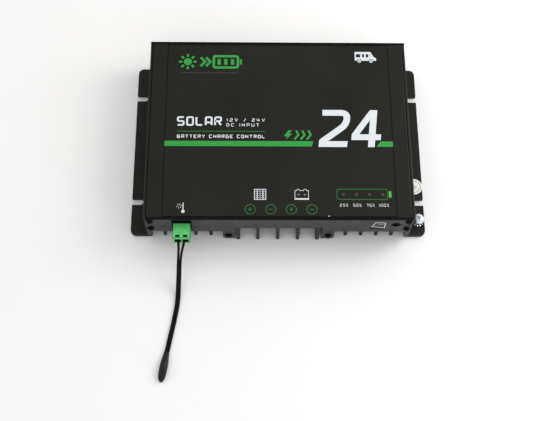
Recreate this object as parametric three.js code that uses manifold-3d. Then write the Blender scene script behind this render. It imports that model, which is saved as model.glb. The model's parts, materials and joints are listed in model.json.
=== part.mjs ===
// Solar charge controller in a finned aluminium case, with its plug-in temperature sensor.
// Units are millimetres. +X is right, +Y is back, +Z is up. The origin is at the bottom centre
// of the case. The front, with the terminals, faces -Y.

import * as THREE from 'three';
import { mergeVertices } from 'three/addons/utils/BufferGeometryUtils.js';
import Module from 'manifold-3d';

const wasm = await Module();
wasm.setup();

// ---------------------------------------------------------------- driving dimensions

const CASE_DEPTH = 130.5;          // over the outer faces of both end panels
const PANEL_THICKNESS = 2;
const CASE_HEIGHT = 33.7;          // table to the top of the cover
const BODY_HALF = 85.9;            // half width over the side walls
const FLANGE_HALF = 96.9;          // half width over the mounting flanges
const FLANGE_THICKNESS = 3;
const FLANGE_CORNER = 3.5;

const WALL = 1.4;                  // side wall of the base
const WALL_TOP = 33.2;
const FLOOR_BOTTOM = 10.7;
const FLOOR_TOP = 13.2;
const BOARD_BOTTOM = 14;
const BOARD_TOP = 15.6;

const FIN_THICKNESS = 2.1;
const FIN_BOTTOM = 2.2;
const FIN_PITCH = 10;

const GAP = 0.3;                   // clearance between pieces that are assembled loosely

const FRONT = -CASE_DEPTH / 2;
const BACK = CASE_DEPTH / 2;
const BODY_FRONT = FRONT + PANEL_THICKNESS;
const BODY_BACK = BACK - PANEL_THICKNESS;
const FLANGE_BACK = BODY_BACK - 1.4;

const fromFront = (distance) => FRONT + distance;

// Screw channels of the extrusions, as [x, z] of their axes on the right-hand side.
const CHANNEL_HOLE = 1.3;
const COVER_CHANNEL = [81.9, 31.1];
const BASE_CHANNEL = [81.9, 19.8];
const EAR_CHANNEL = [32.4, 7.8];

// Terminal block: four poles between five dividers, flush with the front panel.
const BLOCK_CENTRE = -0.4;
const BLOCK_HALF = 27;
const BLOCK_FACE = 10;             // set back behind the dividers
const BLOCK_REAR = 21.7;
const BLOCK_TOP = 19.5;
const BLOCK_NOTCH_BACK = fromFront(BLOCK_REAR + 0.9);
const POLE_PITCH = 13;
const POLE_Z = 9.8;
const POLE_X = [-1.5, -0.5, 0.5, 1.5].map((step) => BLOCK_CENTRE + step * POLE_PITCH);

// Sensor plug and the header that it pushes into.
const PLUG = { left: -67.3, right: -56.4, bottom: 16.4, top: 26.6, proud: 9.2, inserted: 9 };
const PLUG_CENTRE = (PLUG.left + PLUG.right) / 2;
const PLUG_POLE = 2.45;            // half of the pitch of its two poles
const PLUG_SCREW_Y = fromFront(3.2 - PLUG.proud);

// Sensor lead: centre line of the pair, and half of the distance between its two wires.
const WIRE_RADIUS = 0.75;
const LEAD_ROUTE = [
  [-62.2, -71.4, 20.9, 1.9],
  [-62.2, -74.5, 20.9, 1.8],
  [-62.3, -77.0, 20.5, 1.55],
  [-62.6, -79.6, 19.4, 1.2],
  [-63.0, -82.2, 17.6, 0.95],
  [-63.4, -85.3, 14.9, 0.8],
  [-63.7, -88.8, 11.6, 0.8],
  [-63.9, -92.4, 8.4, 0.8],
  [-64.2, -96.7, 5.0, 0.8],
  [-64.4, -101.2, 2.5, 0.8],
  [-64.6, -106.2, 1.2, 0.8],
  [-65.0, -111.0, 0.82, 0.8],
  [-65.8, -116.5, 0.8, 0.8],
  [-66.8, -122.4, 0.8, 0.8],
  [-67.9, -128.3, 0.8, 0.8],
  [-69.0, -134.0, 0.85, 0.8],
  [-70.0, -139.4, 1.0, 0.8],
  [-70.4, -141.5, 1.1, 0.8],
];
const PROBE_START = [-70.5, -141.9];
const PROBE_END = [-73.6, -160.6];

const LED_X = [40.6, 48.95, 57.3, 65.65];
const LED_FROM_FRONT = 17.7;
const LABEL_HALF = 74.2;
const LABEL_THICKNESS = 0.4;
const LABEL_POCKET = 74.7;
const LABEL_FLOOR = CASE_HEIGHT - 0.5;

// ---------------------------------------------------------------- materials

const finish = (color, roughness, metalness) =>
  new THREE.MeshStandardMaterial({ color, roughness, metalness });

const anodised = () => finish(0x2a2a28, 0.55, 0.6);
const powderCoat = () => finish(0x454549, 0.5, 0.2);
const labelFoil = () => finish(0x262723, 0.45, 0);
const blackPlastic = () => finish(0x18181a, 0.5, 0);
const greenPlastic = () => finish(0x4fbf6a, 0.45, 0);
const blackSteel = () => finish(0x0e0e0f, 0.35, 0.7);
const zincSteel = () => finish(0xc9d0d2, 0.3, 0.9);
const boardGreen = () => finish(0x1f5a35, 0.5, 0);
const copperWire = () => finish(0xa85a2a, 0.35, 0.9);
const ferrite = () => finish(0x3c3f42, 0.8, 0);
const capSleeve = () => finish(0x20232a, 0.4, 0);
const chipBlack = () => finish(0x141414, 0.6, 0);
const fuseAmber = () => finish(0xb8862b, 0.3, 0);
const greySilicone = () => finish(0x8c9094, 0.8, 0);
const ledResin = () => finish(0x9fb0a0, 0.2, 0);
const wireJacket = () => finish(0x101010, 0.5, 0);
const stickerPaper = () => finish(0xf2f1ea, 0.6, 0);

// ---------------------------------------------------------------- geometry helpers

const group = new THREE.Group();

function addPart(name, geometry, material) {
  const mesh = new THREE.Mesh(geometry, material);
  mesh.name = name;
  group.add(mesh);
  return mesh;
}

// Keeps positions only and welds them, which is the form that the boolean library reads.
function weld(geometry) {
  const bare = geometry.clone();
  bare.deleteAttribute('normal');
  bare.deleteAttribute('uv');
  return mergeVertices(bare, 1e-5);
}

function toSolid(geometry) {
  const welded = weld(geometry);
  const mesh = new wasm.Mesh({
    numProp: 3,
    vertProperties: new Float32Array(welded.attributes.position.array),
    triVerts: new Uint32Array(welded.index.array),
  });
  return new wasm.Manifold(mesh);
}

function toGeometry(solid) {
  const mesh = solid.getMesh();
  const geometry = new THREE.BufferGeometry();
  geometry.setAttribute('position', new THREE.BufferAttribute(mesh.vertProperties, 3));
  geometry.setIndex(new THREE.BufferAttribute(mesh.triVerts, 1));
  geometry.computeVertexNormals();
  return geometry;
}

function carve(geometry, cutters) {
  return toGeometry(cutters.reduce((solid, cutter) => solid.subtract(toSolid(cutter)), toSolid(geometry)));
}

function unite(geometries) {
  return toGeometry(geometries.map(toSolid).reduce((whole, piece) => whole.add(piece)));
}

// A box given by its low and high limits on each axis.
function block([x0, x1], [y0, y1], [z0, z1]) {
  return new THREE.BoxGeometry(x1 - x0, y1 - y0, z1 - z0)
    .translate((x0 + x1) / 2, (y0 + y1) / 2, (z0 + z1) / 2);
}

function shapeFrom(points) {
  return new THREE.Shape(points.map(([u, v]) => new THREE.Vector2(u, v)));
}

function arc(cu, cv, radius, fromDeg, toDeg, steps) {
  return Array.from({ length: steps + 1 }, (_, i) => {
    const angle = THREE.MathUtils.degToRad(fromDeg + ((toDeg - fromDeg) * i) / steps);
    return [cu + radius * Math.cos(angle), cv + radius * Math.sin(angle)];
  });
}

function circlePath(cu, cv, radius, sides = 12) {
  const turn = arc(cu, cv, radius, 0, 360, sides).slice(0, -1);
  return new THREE.Path(turn.map(([u, v]) => new THREE.Vector2(u, v)));
}

function rectanglePath([u0, u1], [v0, v1]) {
  return new THREE.Path([[u0, v0], [u1, v0], [u1, v1], [u0, v1]].map(([u, v]) => new THREE.Vector2(u, v)));
}

// Mirrors the right half of an outline, which starts and ends on the centre line.
function mirrored(half) {
  const left = half.map(([u, v]) => [-u, v]).reverse();
  return [...half, ...left.filter(([u]) => u !== 0)];
}

// A section drawn in X and Z, extruded along Y between two limits.
function alongY(shape, y0, y1) {
  return new THREE.ExtrudeGeometry(shape, { depth: y1 - y0, bevelEnabled: false })
    .rotateX(Math.PI / 2)
    .translate(0, y1, 0);
}

// An outline drawn in X and Y, extruded upwards between two heights.
function alongZ(shape, z0, z1) {
  return new THREE.ExtrudeGeometry(shape, { depth: z1 - z0, bevelEnabled: false }).translate(0, 0, z0);
}

// A turned piece, from a profile of [radius, height] pairs, standing on +Z.
function turned(profile, sides = 12) {
  const points = profile.map(([r, h]) => new THREE.Vector2(r, h));
  return new THREE.LatheGeometry(points, sides).rotateX(Math.PI / 2);
}

function roundBar(radius, z0, z1, sides = 12) {
  return turned([[0, z0], [radius, z0], [radius, z1], [0, z1]], sides);
}

// Turns a piece that stands on +Z so that it faces the front, or the back.
const faceFront = (geometry) => geometry.rotateX(Math.PI / 2);
const faceBack = (geometry) => geometry.rotateX(-Math.PI / 2);

// ---------------------------------------------------------------- case

// One cooling fin with a half-round tip, hanging from the floor.
function finPoints(x) {
  const half = FIN_THICKNESS / 2;
  return [
    [x - half, FLOOR_BOTTOM],
    ...arc(x, FIN_BOTTOM + half, half, 180, 360, 4),
    [x + half, FLOOR_BOTTOM],
  ];
}

function baseSection() {
  const half = FIN_THICKNESS / 2;
  const innerWall = BODY_HALF - WALL;
  const [channelX, channelZ] = BASE_CHANNEL;
  const channelHalf = 3;
  const footInner = BODY_HALF - 2.5;
  const rail = [71, 77];
  const ear = { left: 29.4, right: 36, bottom: 3.5 };
  const points = mirrored([
    ...arc(0, FIN_BOTTOM + half, half, 270, 360, 2),
    [half, FLOOR_BOTTOM],
    ...finPoints(FIN_PITCH),
    ...finPoints(2 * FIN_PITCH),
    [ear.left, FLOOR_BOTTOM],
    [ear.left, ear.bottom],
    [ear.right, ear.bottom],
    [ear.right, FLOOR_BOTTOM],
    ...[44, 54, 64, 74].flatMap(finPoints),
    [footInner, FLOOR_BOTTOM],
    [footInner, 0],
    [FLANGE_HALF, 0],
    [FLANGE_HALF, FLANGE_THICKNESS],
    [BODY_HALF, FLANGE_THICKNESS],
    ...arc(BODY_HALF - 0.5, WALL_TOP - 0.5, 0.5, 0, 90, 2),
    [innerWall, WALL_TOP],
    [innerWall, channelZ + channelHalf],
    [channelX - channelHalf, channelZ + channelHalf],
    [channelX - channelHalf, channelZ - channelHalf],
    [innerWall, channelZ - channelHalf],
    [innerWall, FLOOR_TOP],
    [rail[1], FLOOR_TOP],
    [rail[1], BOARD_BOTTOM],
    [rail[0], BOARD_BOTTOM],
    [rail[0], FLOOR_TOP],
    [0, FLOOR_TOP],
  ]);
  const section = shapeFrom(points);
  for (const side of [-1, 1]) {
    section.holes.push(circlePath(side * channelX, channelZ, CHANNEL_HOLE, 12));
    section.holes.push(circlePath(side * EAR_CHANNEL[0], EAR_CHANNEL[1], CHANNEL_HOLE, 12));
  }
  return section;
}

// Open-ended mounting slot in a flange; the side is 1 on the right and -1 on the left.
const SLOT = { radius: 2.4, innerEnd: 89.2, fromFront: [25.6, 103.8] };

function flangeSlot(side, y) {
  const innerCentre = SLOT.innerEnd + SLOT.radius;
  const outer = FLANGE_HALF + 2;
  const outline = [
    ...arc(innerCentre, y, SLOT.radius, 90, 270, 8),
    [outer, y - SLOT.radius],
    [outer, y + SLOT.radius],
  ].map(([x, v]) => [side * x, v]);
  return alongZ(shapeFrom(side > 0 ? outline : outline.reverse()), -1, FLANGE_THICKNESS + 1);
}

// What lies beyond the rounded end of a flange, to be cut off.
function flangeCorner(sideX, sideY) {
  const end = sideY > 0 ? FLANGE_BACK : -BODY_FRONT;
  const x = FLANGE_HALF - FLANGE_CORNER;
  const y = end - FLANGE_CORNER;
  const outline = [
    ...arc(x, y, FLANGE_CORNER, 0, 90, 5),
    [BODY_HALF, end],
    [BODY_HALF, BODY_BACK + 1],
    [FLANGE_HALF + 1, BODY_BACK + 1],
    [FLANGE_HALF + 1, y],
  ].map(([u, v]) => [sideX * u, sideY * v]);
  return alongZ(shapeFrom(sideX * sideY > 0 ? outline.reverse() : outline), -1, FLANGE_THICKNESS + 1);
}

const GROUND_SCREW = { x: 92.6, y: fromFront(12.5), hole: 1.95 };
const BOARD_SCREW_HOLE = 1.5;
const BOARD_SCREW_X = 74;
const BOARD_SCREW_Y = [fromFront(22), fromFront(118)];
const CLAMP_SCREW_X = 25;
const TRANSISTOR_Y = fromFront(112);
const CLAMP_SCREW_Y = TRANSISTOR_Y + 1;

function heatsinkBase() {
  const { x, y, hole } = GROUND_SCREW;
  const cutters = [
    block([BLOCK_CENTRE - BLOCK_HALF - 1, BLOCK_CENTRE + BLOCK_HALF + 1],
      [BODY_FRONT - 1, BLOCK_NOTCH_BACK], [-1, FLOOR_TOP + 1]),
    roundBar(hole, -1, FLANGE_THICKNESS + 1).translate(x, y, 0),
  ];
  for (const side of [-1, 1]) {
    SLOT.fromFront.forEach((distance) => cutters.push(flangeSlot(side, fromFront(distance))));
    cutters.push(flangeCorner(side, 1), flangeCorner(side, -1));
    const threadAt = (screwX, screwY) =>
      roundBar(BOARD_SCREW_HOLE, FLOOR_BOTTOM + GAP, BOARD_BOTTOM + 1, 10)
        .translate(side * screwX, screwY, 0);
    BOARD_SCREW_Y.forEach((screwY) => cutters.push(threadAt(BOARD_SCREW_X, screwY)));
    cutters.push(threadAt(CLAMP_SCREW_X, CLAMP_SCREW_Y));
  }
  return carve(alongY(baseSection(), BODY_FRONT, BODY_BACK), cutters);
}

function coverSection() {
  const outer = BODY_HALF - WALL - GAP;
  const ceiling = 32.1;
  const legInner = outer - 1.4;
  const legBottom = BASE_CHANNEL[1] + 3 + GAP;
  const [channelX, channelZ] = COVER_CHANNEL;
  const channelInner = channelX - 2.7;
  const channelBottom = channelZ - 2.9;
  const edge = 0.8;
  const section = shapeFrom(mirrored([
    [0, ceiling],
    [channelInner, ceiling],
    [channelInner, channelBottom],
    [legInner, channelBottom],
    [legInner, legBottom],
    [outer, legBottom],
    ...arc(outer - edge, CASE_HEIGHT - edge, edge, 0, 90, 4),
    [LABEL_POCKET, CASE_HEIGHT],
    [LABEL_POCKET, LABEL_FLOOR],
    [0, LABEL_FLOOR],
  ]));
  section.holes.push(...[-1, 1].map((side) => circlePath(side * channelX, channelZ, CHANNEL_HOLE)));
  return section;
}

function topCover() {
  const lampHoles = LED_X.map((x) =>
    roundBar(1.8, CASE_HEIGHT - 3, CASE_HEIGHT + 1, 12).translate(x, fromFront(LED_FROM_FRONT), 0));
  return carve(alongY(coverSection(), BODY_FRONT, BODY_BACK), lampHoles);
}

const FRONT_PANEL_HALF = 84.6;
const REAR_PANEL_HALF = BODY_HALF;
const PANEL_TOP = 33.5;
const PANEL_BOTTOM = 14.45;
const STRIP_BOTTOM = 20.05;
const JACK = { x: 74.3, z: 26.2, panelHole: 3.1 };
const SLIT = { x: [57.9, 67.3], z: [19.5, 20.5] };

// Tongue at the lower corner of a panel, with a round end, hanging from its lower edge.
function cornerTongue(panelHalf, edge) {
  const radius = 1.5;
  const bottom = 6;
  return [
    [panelHalf - 2 * radius, edge],
    ...arc(panelHalf - radius, bottom + radius, radius, 180, 360, 8),
  ];
}

function screwHoles(points) {
  return points.flatMap(([x, z]) => [-1, 1].map((side) => circlePath(side * x, z, 1.5)));
}

function frontPanel() {
  const window = BLOCK_HALF + 0.9;
  const ear = { right: 36.2, bottom: 2.4, radius: 2.6 };
  const panel = shapeFrom(mirrored([
    [0, STRIP_BOTTOM],
    [window, STRIP_BOTTOM],
    [window, ear.bottom],
    ...arc(ear.right - ear.radius, ear.bottom + ear.radius, ear.radius, 270, 360, 4),
    [ear.right, PANEL_BOTTOM],
    ...cornerTongue(FRONT_PANEL_HALF, PANEL_BOTTOM),
    [FRONT_PANEL_HALF, PANEL_TOP],
    [0, PANEL_TOP],
  ]));
  panel.holes.push(
    ...screwHoles([COVER_CHANNEL, BASE_CHANNEL, EAR_CHANNEL]),
    rectanglePath([PLUG.left - 0.8, PLUG.right + 0.9], [PLUG.bottom - 0.5, PANEL_TOP - 0.6]),
    circlePath(JACK.x, JACK.z, JACK.panelHole, 20),
    rectanglePath(SLIT.x, SLIT.z),
  );
  return alongY(panel, FRONT, BODY_FRONT);
}

function rearPanel() {
  const panel = alongY(shapeFrom(mirrored([
    [0, FLOOR_BOTTOM],
    ...cornerTongue(REAR_PANEL_HALF, FLOOR_BOTTOM),
    [REAR_PANEL_HALF, PANEL_TOP],
    [0, PANEL_TOP],
  ])), BODY_BACK, BACK);
  const { head, rim, cone, shank } = FLAT_SCREW;
  const clear = 0.15;
  const countersink = () => faceBack(turned([
    [0, -PANEL_THICKNESS - 1],
    [shank + clear, -PANEL_THICKNESS - 1],
    [shank + clear, -cone],
    [head + clear, -rim],
    [head + clear, 1],
    [0, 1],
  ]));
  const holes = [COVER_CHANNEL, BASE_CHANNEL].flatMap(([x, z]) =>
    [-1, 1].map((side) => countersink().translate(side * x, BACK, z)));
  return carve(panel, holes);
}

function labelOverlay() {
  const bottom = LABEL_FLOOR + 0.02;
  return block([-LABEL_HALF, LABEL_HALF], [BODY_FRONT + GAP, BODY_BACK - GAP],
    [bottom, bottom + LABEL_THICKNESS]);
}

// Pan-head screw standing on +Z, its head resting on z = 0, with the shank below.
function panScrew({ head, height, shank, length, slot = 0, sides = 12 }) {
  const body = turned([
    [0, -length],
    [shank, -length],
    [shank, 0],
    [head, 0],
    [head, height * 0.55],
    [head * 0.8, height * 0.9],
    [head * 0.45, height],
    [0, height],
  ], sides);
  if (!slot) return body;
  return carve(body, [block([-head, head], [-slot / 2, slot / 2], [height * 0.55, height + 1])]);
}

const PANEL_SCREW = { head: 2.35, height: 1.8, shank: 1.15, length: 9, sides: 10 };
const FLAT_SCREW = { head: 2.3, rim: 0.2, cone: 1.35, shank: 1.15, length: 9 };

// Countersunk screw below z = 0, with its flat head at the top.
function flatScrew({ head, rim, cone, shank, length }) {
  return turned([[0, -length], [shank, -length], [shank, -cone], [head, -rim], [head, 0], [0, 0]]);
}

function addPanelScrews() {
  const names = { upper: COVER_CHANNEL, lower: BASE_CHANNEL, ear: EAR_CHANNEL };
  for (const [place, [x, z]] of Object.entries(names)) {
    for (const [side, label] of [[-1, 'left'], [1, 'right']]) {
      const front = faceFront(panScrew(PANEL_SCREW)).translate(side * x, FRONT, z);
      addPart(`front_screw_${place}_${label}`, front, blackSteel());
      if (place === 'ear') continue;
      const rear = faceBack(flatScrew(FLAT_SCREW)).translate(side * x, BACK, z);
      addPart(`rear_screw_${place}_${label}`, rear, blackSteel());
    }
  }
}

function addCase() {
  addPart('heatsink_base', heatsinkBase(), anodised());
  addPart('top_cover', topCover(), anodised());
  addPart('front_panel', frontPanel(), powderCoat());
  addPart('rear_panel', rearPanel(), powderCoat());
  addPart('label_overlay', labelOverlay(), labelFoil());
  addPanelScrews();
}

// ---------------------------------------------------------------- flange fittings

// Toothed lock washer: teeth all round its outer edge.
function toothWasher(bore, inner, outer, thickness, teeth) {
  const points = [];
  for (let i = 0; i < teeth; i += 1) {
    const pitch = 360 / teeth;
    points.push(...arc(0, 0, outer, i * pitch, i * pitch + pitch * 0.4, 1));
    points.push(...arc(0, 0, inner, i * pitch + pitch * 0.55, i * pitch + pitch * 0.85, 1));
  }
  const washer = shapeFrom(points);
  washer.holes.push(circlePath(0, 0, bore));
  return alongZ(washer, 0, thickness);
}

function springWasher(bore, outer, thickness) {
  const washer = shapeFrom(arc(0, 0, outer, 8, 352, 16).concat(arc(0, 0, bore, 352, 8, 16)));
  return alongZ(washer, 0, thickness);
}

function addGroundPoint() {
  const { x, y, hole } = GROUND_SCREW;
  const toothBottom = FLANGE_THICKNESS + 0.05;
  const springBottom = toothBottom + 0.75;
  const headBottom = springBottom + 1.05;
  const toothed = toothWasher(hole, 3.1, 4.3, 0.7, 12);
  addPart('ground_tooth_washer', toothed.translate(x, y, toothBottom), zincSteel());
  addPart('ground_spring_washer', springWasher(hole, 3.3, 1).translate(x, y, springBottom), zincSteel());
  const screw = panScrew({ head: 3.65, height: 2.6, shank: 1.7, length: headBottom - GAP, slot: 0.9 });
  addPart('ground_screw', screw.translate(x, y, headBottom), zincSteel());
}

function addSticker() {
  const radius = 5.6;
  const thickness = 0.15;
  const sticker = roundBar(radius, 0, thickness, 32);
  addPart('earth_sticker', sticker.translate(91.55, fromFront(37), FLANGE_THICKNESS + 0.01), stickerPaper());
}

// ---------------------------------------------------------------- terminals

function terminalBlock() {
  const left = BLOCK_CENTRE - BLOCK_HALF;
  const right = BLOCK_CENTRE + BLOCK_HALF;
  const endThickness = 2.4;
  const innerThickness = 2;
  const shoulder = 0.5;
  const footBack = 27;             // the part that stands on the circuit board
  const bore = { radius: 2.25, front: BLOCK_FACE - 9.9, depth: 19 };
  const pieces = [
    block([left, right], [fromFront(BLOCK_FACE), fromFront(BLOCK_REAR)], [0.3, BLOCK_TOP]),
    block([left + 1, right - 1], [fromFront(BLOCK_REAR - 1), fromFront(footBack)],
      [BOARD_TOP + 0.05, BLOCK_TOP - 1]),
  ];
  const walls = [
    [left, left + endThickness],
    ...[-1, 0, 1].map((step) => {
      const x = BLOCK_CENTRE + step * POLE_PITCH;
      return [x - innerThickness / 2, x + innerThickness / 2];
    }),
    [right - endThickness, right],
  ];
  for (const wall of walls) {
    pieces.push(block(wall, [FRONT, fromFront(BLOCK_FACE + shoulder)], [0.2, BLOCK_TOP]));
  }
  const holes = POLE_X.map((x) =>
    faceFront(roundBar(bore.radius, -bore.depth, 0, 16)).translate(x, fromFront(bore.front), POLE_Z));
  return carve(unite(pieces), holes);
}

function addTerminals() {
  addPart('terminal_block', terminalBlock(), blackPlastic());
  const clampHalf = 4.3;
  const clampThickness = 1.2;
  const clampFront = fromFront(BLOCK_FACE - 1.5);
  const clampHeight = [POLE_Z - clampHalf, POLE_Z + clampHalf];
  POLE_X.forEach((x, i) => {
    const plate = carve(
      block([x - clampHalf, x + clampHalf], [clampFront, clampFront + clampThickness], clampHeight),
      [faceFront(roundBar(2.2, -3, 3, 16)).translate(x, clampFront, POLE_Z)],
    );
    addPart(`terminal_clamp_${i + 1}`, plate, zincSteel());
    const screw = faceFront(panScrew({ head: 3.6, height: 2.4, shank: 1.9, length: 9, slot: 1 }));
    addPart(`terminal_screw_${i + 1}`, screw.translate(x, clampFront - 0.1, POLE_Z), zincSteel());
  });
}

// ---------------------------------------------------------------- sensor plug, lead and probe

const HEADER = { side: 0.35, front: 2.3, back: 13.5, pocketBack: 12.3, wall: 0.9 };

function sensorHeader() {
  const { side, front, back, pocketBack, wall } = HEADER;
  const pocketX = [PLUG.left - side, PLUG.right + side];
  const pocketZ = [PLUG.bottom - GAP, PLUG.top + GAP];
  const shell = carve(
    block([pocketX[0] - wall, pocketX[1] + wall], [fromFront(front), fromFront(back)],
      [BOARD_TOP + 0.02, pocketZ[1] + wall]),
    [block(pocketX, [fromFront(front - 1), fromFront(pocketBack)], pocketZ)],
  );
  const pinHalf = 0.5;
  const pins = [-PLUG_POLE, PLUG_POLE].map((offset) => {
    const x = PLUG_CENTRE + offset;
    return block([x - pinHalf, x + pinHalf], [fromFront(6), fromFront(pocketBack + 0.5)], [21, 22]);
  });
  return unite([shell, ...pins]);
}

function sensorPlug() {
  const { left, right, bottom, top, proud, inserted } = PLUG;
  const cutters = [];
  for (const offset of [-PLUG_POLE, PLUG_POLE]) {
    const x = PLUG_CENTRE + offset;
    // Wire opening in the front, contact socket in the rear, test slot on top, screw well underneath.
    cutters.push(block([x - 1.85, x + 1.85], [fromFront(-proud - 1), fromFront(-proud + 4.5)], [18.7, 23.3]));
    cutters.push(block([x - 0.9, x + 0.9], [fromFront(4.5), fromFront(inserted + 1)], [20.6, 22.4]));
    cutters.push(block([x - 1.15, x + 1.15], [fromFront(-proud + 0.6), fromFront(-proud + 1.7)],
      [top - 1, top + 1]));
    cutters.push(roundBar(1.95, bottom - 1, bottom + 2.1).translate(x, PLUG_SCREW_Y, 0));
  }
  const body = block([left, right], [fromFront(-proud), fromFront(inserted)], [bottom, top]);
  return carve(body, cutters);
}

function plugScrew(x) {
  const radius = 1.65;
  const screw = roundBar(radius, PLUG.bottom + 0.2, PLUG.bottom + 1.9);
  const slot = block([-radius, radius], [-0.3, 0.3], [PLUG.bottom - 1, PLUG.bottom + 0.8]);
  return carve(screw, [slot]).translate(x, PLUG_SCREW_Y, 0);
}

// One of the two wires; the side is -1 for the left and 1 for the right.
function leadWire(side) {
  const points = LEAD_ROUTE.map(([x, y, z, spread]) => new THREE.Vector3(x + side * spread, y, z));
  const section = new THREE.Shape(arc(0, 0, WIRE_RADIUS, 0, 315, 7).map(([u, v]) => new THREE.Vector2(u, v)));
  return new THREE.ExtrudeGeometry(section, {
    steps: 26,
    bevelEnabled: false,
    extrudePath: new THREE.CatmullRomCurve3(points),
  });
}

// A closed skin through rings of equal size, capped at both ends.
function loft(rings) {
  const sides = rings[0].length;
  const positions = rings.flat(2);
  const index = [];
  for (let r = 0; r + 1 < rings.length; r += 1) {
    for (let s = 0; s < sides; s += 1) {
      const a = r * sides + s;
      const b = r * sides + ((s + 1) % sides);
      index.push(a, b, b + sides, a, b + sides, a + sides);
    }
  }
  for (let s = 1; s + 1 < sides; s += 1) {
    index.push(0, s + 1, s);
    const last = (rings.length - 1) * sides;
    index.push(last, last + s, last + s + 1);
  }
  const geometry = new THREE.BufferGeometry();
  geometry.setAttribute('position', new THREE.Float32BufferAttribute(positions, 3));
  geometry.setIndex(index);
  geometry.computeVertexNormals();
  return geometry;
}

// Shrink-sleeved sensor bead, lying on the table: [part of its length, half width, half height].
const PROBE_FORM = [
  [0, 1.9, 1.05],
  [0.12, 2.05, 1.3],
  [0.3, 2.5, 1.9],
  [0.55, 2.65, 2.1],
  [0.8, 2.5, 2.0],
  [0.93, 1.9, 1.5],
  [1, 0.8, 0.6],
];
const PROBE_AXIS = 2.13;           // height of its thick end's axis
const PROBE_NECK = 0.3;            // part of its length that dips to the wires

function sensorProbe() {
  const [x0, y0] = PROBE_START;
  const [x1, y1] = PROBE_END;
  const length = Math.hypot(x1 - x0, y1 - y0);
  const along = [(x1 - x0) / length, (y1 - y0) / length];
  const across = [-along[1], along[0]];
  const rings = PROBE_FORM.map(([part, halfWidth, halfHeight]) =>
    arc(0, 0, 1, 0, 330, 11).map(([u, v]) => [
      x0 + along[0] * part * length + across[0] * u * halfWidth,
      y0 + along[1] * part * length + across[1] * u * halfWidth,
      PROBE_AXIS + v * halfHeight - (part < PROBE_NECK ? (2.1 - halfHeight) * 0.9 : 0),
    ]));
  return loft(rings);
}

function addSensor() {
  addPart('sensor_header', sensorHeader(), greenPlastic());
  addPart('sensor_plug', sensorPlug(), greenPlastic());
  addPart('plug_screw_left', plugScrew(PLUG_CENTRE - PLUG_POLE), zincSteel());
  addPart('plug_screw_right', plugScrew(PLUG_CENTRE + PLUG_POLE), zincSteel());
  addPart('sensor_wire_left', leadWire(-1), wireJacket());
  addPart('sensor_wire_right', leadWire(1), wireJacket());
  addPart('sensor_probe', sensorProbe(), wireJacket());
}

// ---------------------------------------------------------------- circuit board and what it carries

const TRANSISTOR_PITCH = 11.5;
const TRANSISTOR_BOTTOM = FLOOR_TOP + 0.5;

function circuitBoard() {
  const half = 78.3;
  const front = fromFront(3.2);
  const back = fromFront(125.5);
  const notchFront = BLOCK_NOTCH_BACK;
  const notchBack = fromFront(99);
  const frontNotch = BLOCK_HALF + 1.2;
  const backNotch = 29;
  const board = shapeFrom([
    [-half, front], [-frontNotch, front], [-frontNotch, notchFront], [frontNotch, notchFront],
    [frontNotch, front], [half, front], [half, back], [backNotch, back], [backNotch, notchBack],
    [-backNotch, notchBack], [-backNotch, back], [-half, back],
  ]);
  for (const y of BOARD_SCREW_Y) {
    for (const side of [-1, 1]) board.holes.push(circlePath(side * BOARD_SCREW_X, y, 1.65, 12));
  }
  return alongZ(board, BOARD_BOTTOM + 0.02, BOARD_TOP);
}

function addBoard() {
  addPart('circuit_board', circuitBoard(), boardGreen());
  const names = [['left', -1], ['right', 1]].flatMap(([label, side]) => [
    [`board_screw_front_${label}`, side, BOARD_SCREW_Y[0]],
    [`board_screw_rear_${label}`, side, BOARD_SCREW_Y[1]],
  ]);
  for (const [name, side, y] of names) {
    const screw = panScrew({ head: 2.7, height: 1.8, shank: 1.3, length: 4, sides: 12 });
    addPart(name, screw.translate(side * BOARD_SCREW_X, y, BOARD_TOP + 0.05), zincSteel());
  }
}

const INDUCTOR = { x: -46, y: fromFront(66), inner: 9, outer: 16, bottom: 17.6, top: 27.6 };

// Rings of the winding's wire, mitred at each corner of the core's square section.
function windingRings(turns, wireRadius, stand) {
  const corners = [
    { r: INDUCTOR.inner - stand, z: INDUCTOR.bottom - stand, out: [-1, -1] },
    { r: INDUCTOR.outer + stand, z: INDUCTOR.bottom - stand, out: [1, -1] },
    { r: INDUCTOR.outer + stand, z: INDUCTOR.top + stand, out: [1, 1] },
    { r: INDUCTOR.inner - stand, z: INDUCTOR.top + stand, out: [-1, 1] },
  ];
  const step = (2 * Math.PI) / (4 * (turns + 1));
  return Array.from({ length: 4 * turns }, (_, i) => {
    const { r, z, out } = corners[i % 4];
    const cos = Math.cos(i * step);
    const sin = Math.sin(i * step);
    return arc(0, 0, wireRadius, 0, 288, 4).map(([u, v]) => [
      (r + out[0] * u) * cos - v * sin,
      (r + out[0] * u) * sin + v * cos,
      z + out[1] * u,
    ]);
  });
}

// Toroid lying flat, and its winding of round wire through the hole and over the rim.
function addInductor() {
  const { x, y, inner, outer, bottom, top } = INDUCTOR;
  const ring = turned([[inner, bottom], [outer, bottom], [outer, top], [inner, top], [inner, bottom]], 28);
  addPart('inductor_core', ring.translate(x, y, 0), ferrite());
  addPart('inductor_winding', loft(windingRings(20, 0.6, 1.2)).translate(x, y, 0), copperWire());
}

// Electrolytic capacitor: sleeve with a crimp near the foot and a rolled rim on top.
function capacitor() {
  const radius = 6.25;
  const height = 14.4;
  return turned([
    [0, 0], [radius, 0], [radius, 1], [radius - 0.5, 1.6], [radius, 2.2], [radius, height - 0.5],
    [radius - 0.6, height], [radius - 1.2, height - 0.3], [0, height - 0.3],
  ], 14);
}

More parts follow.
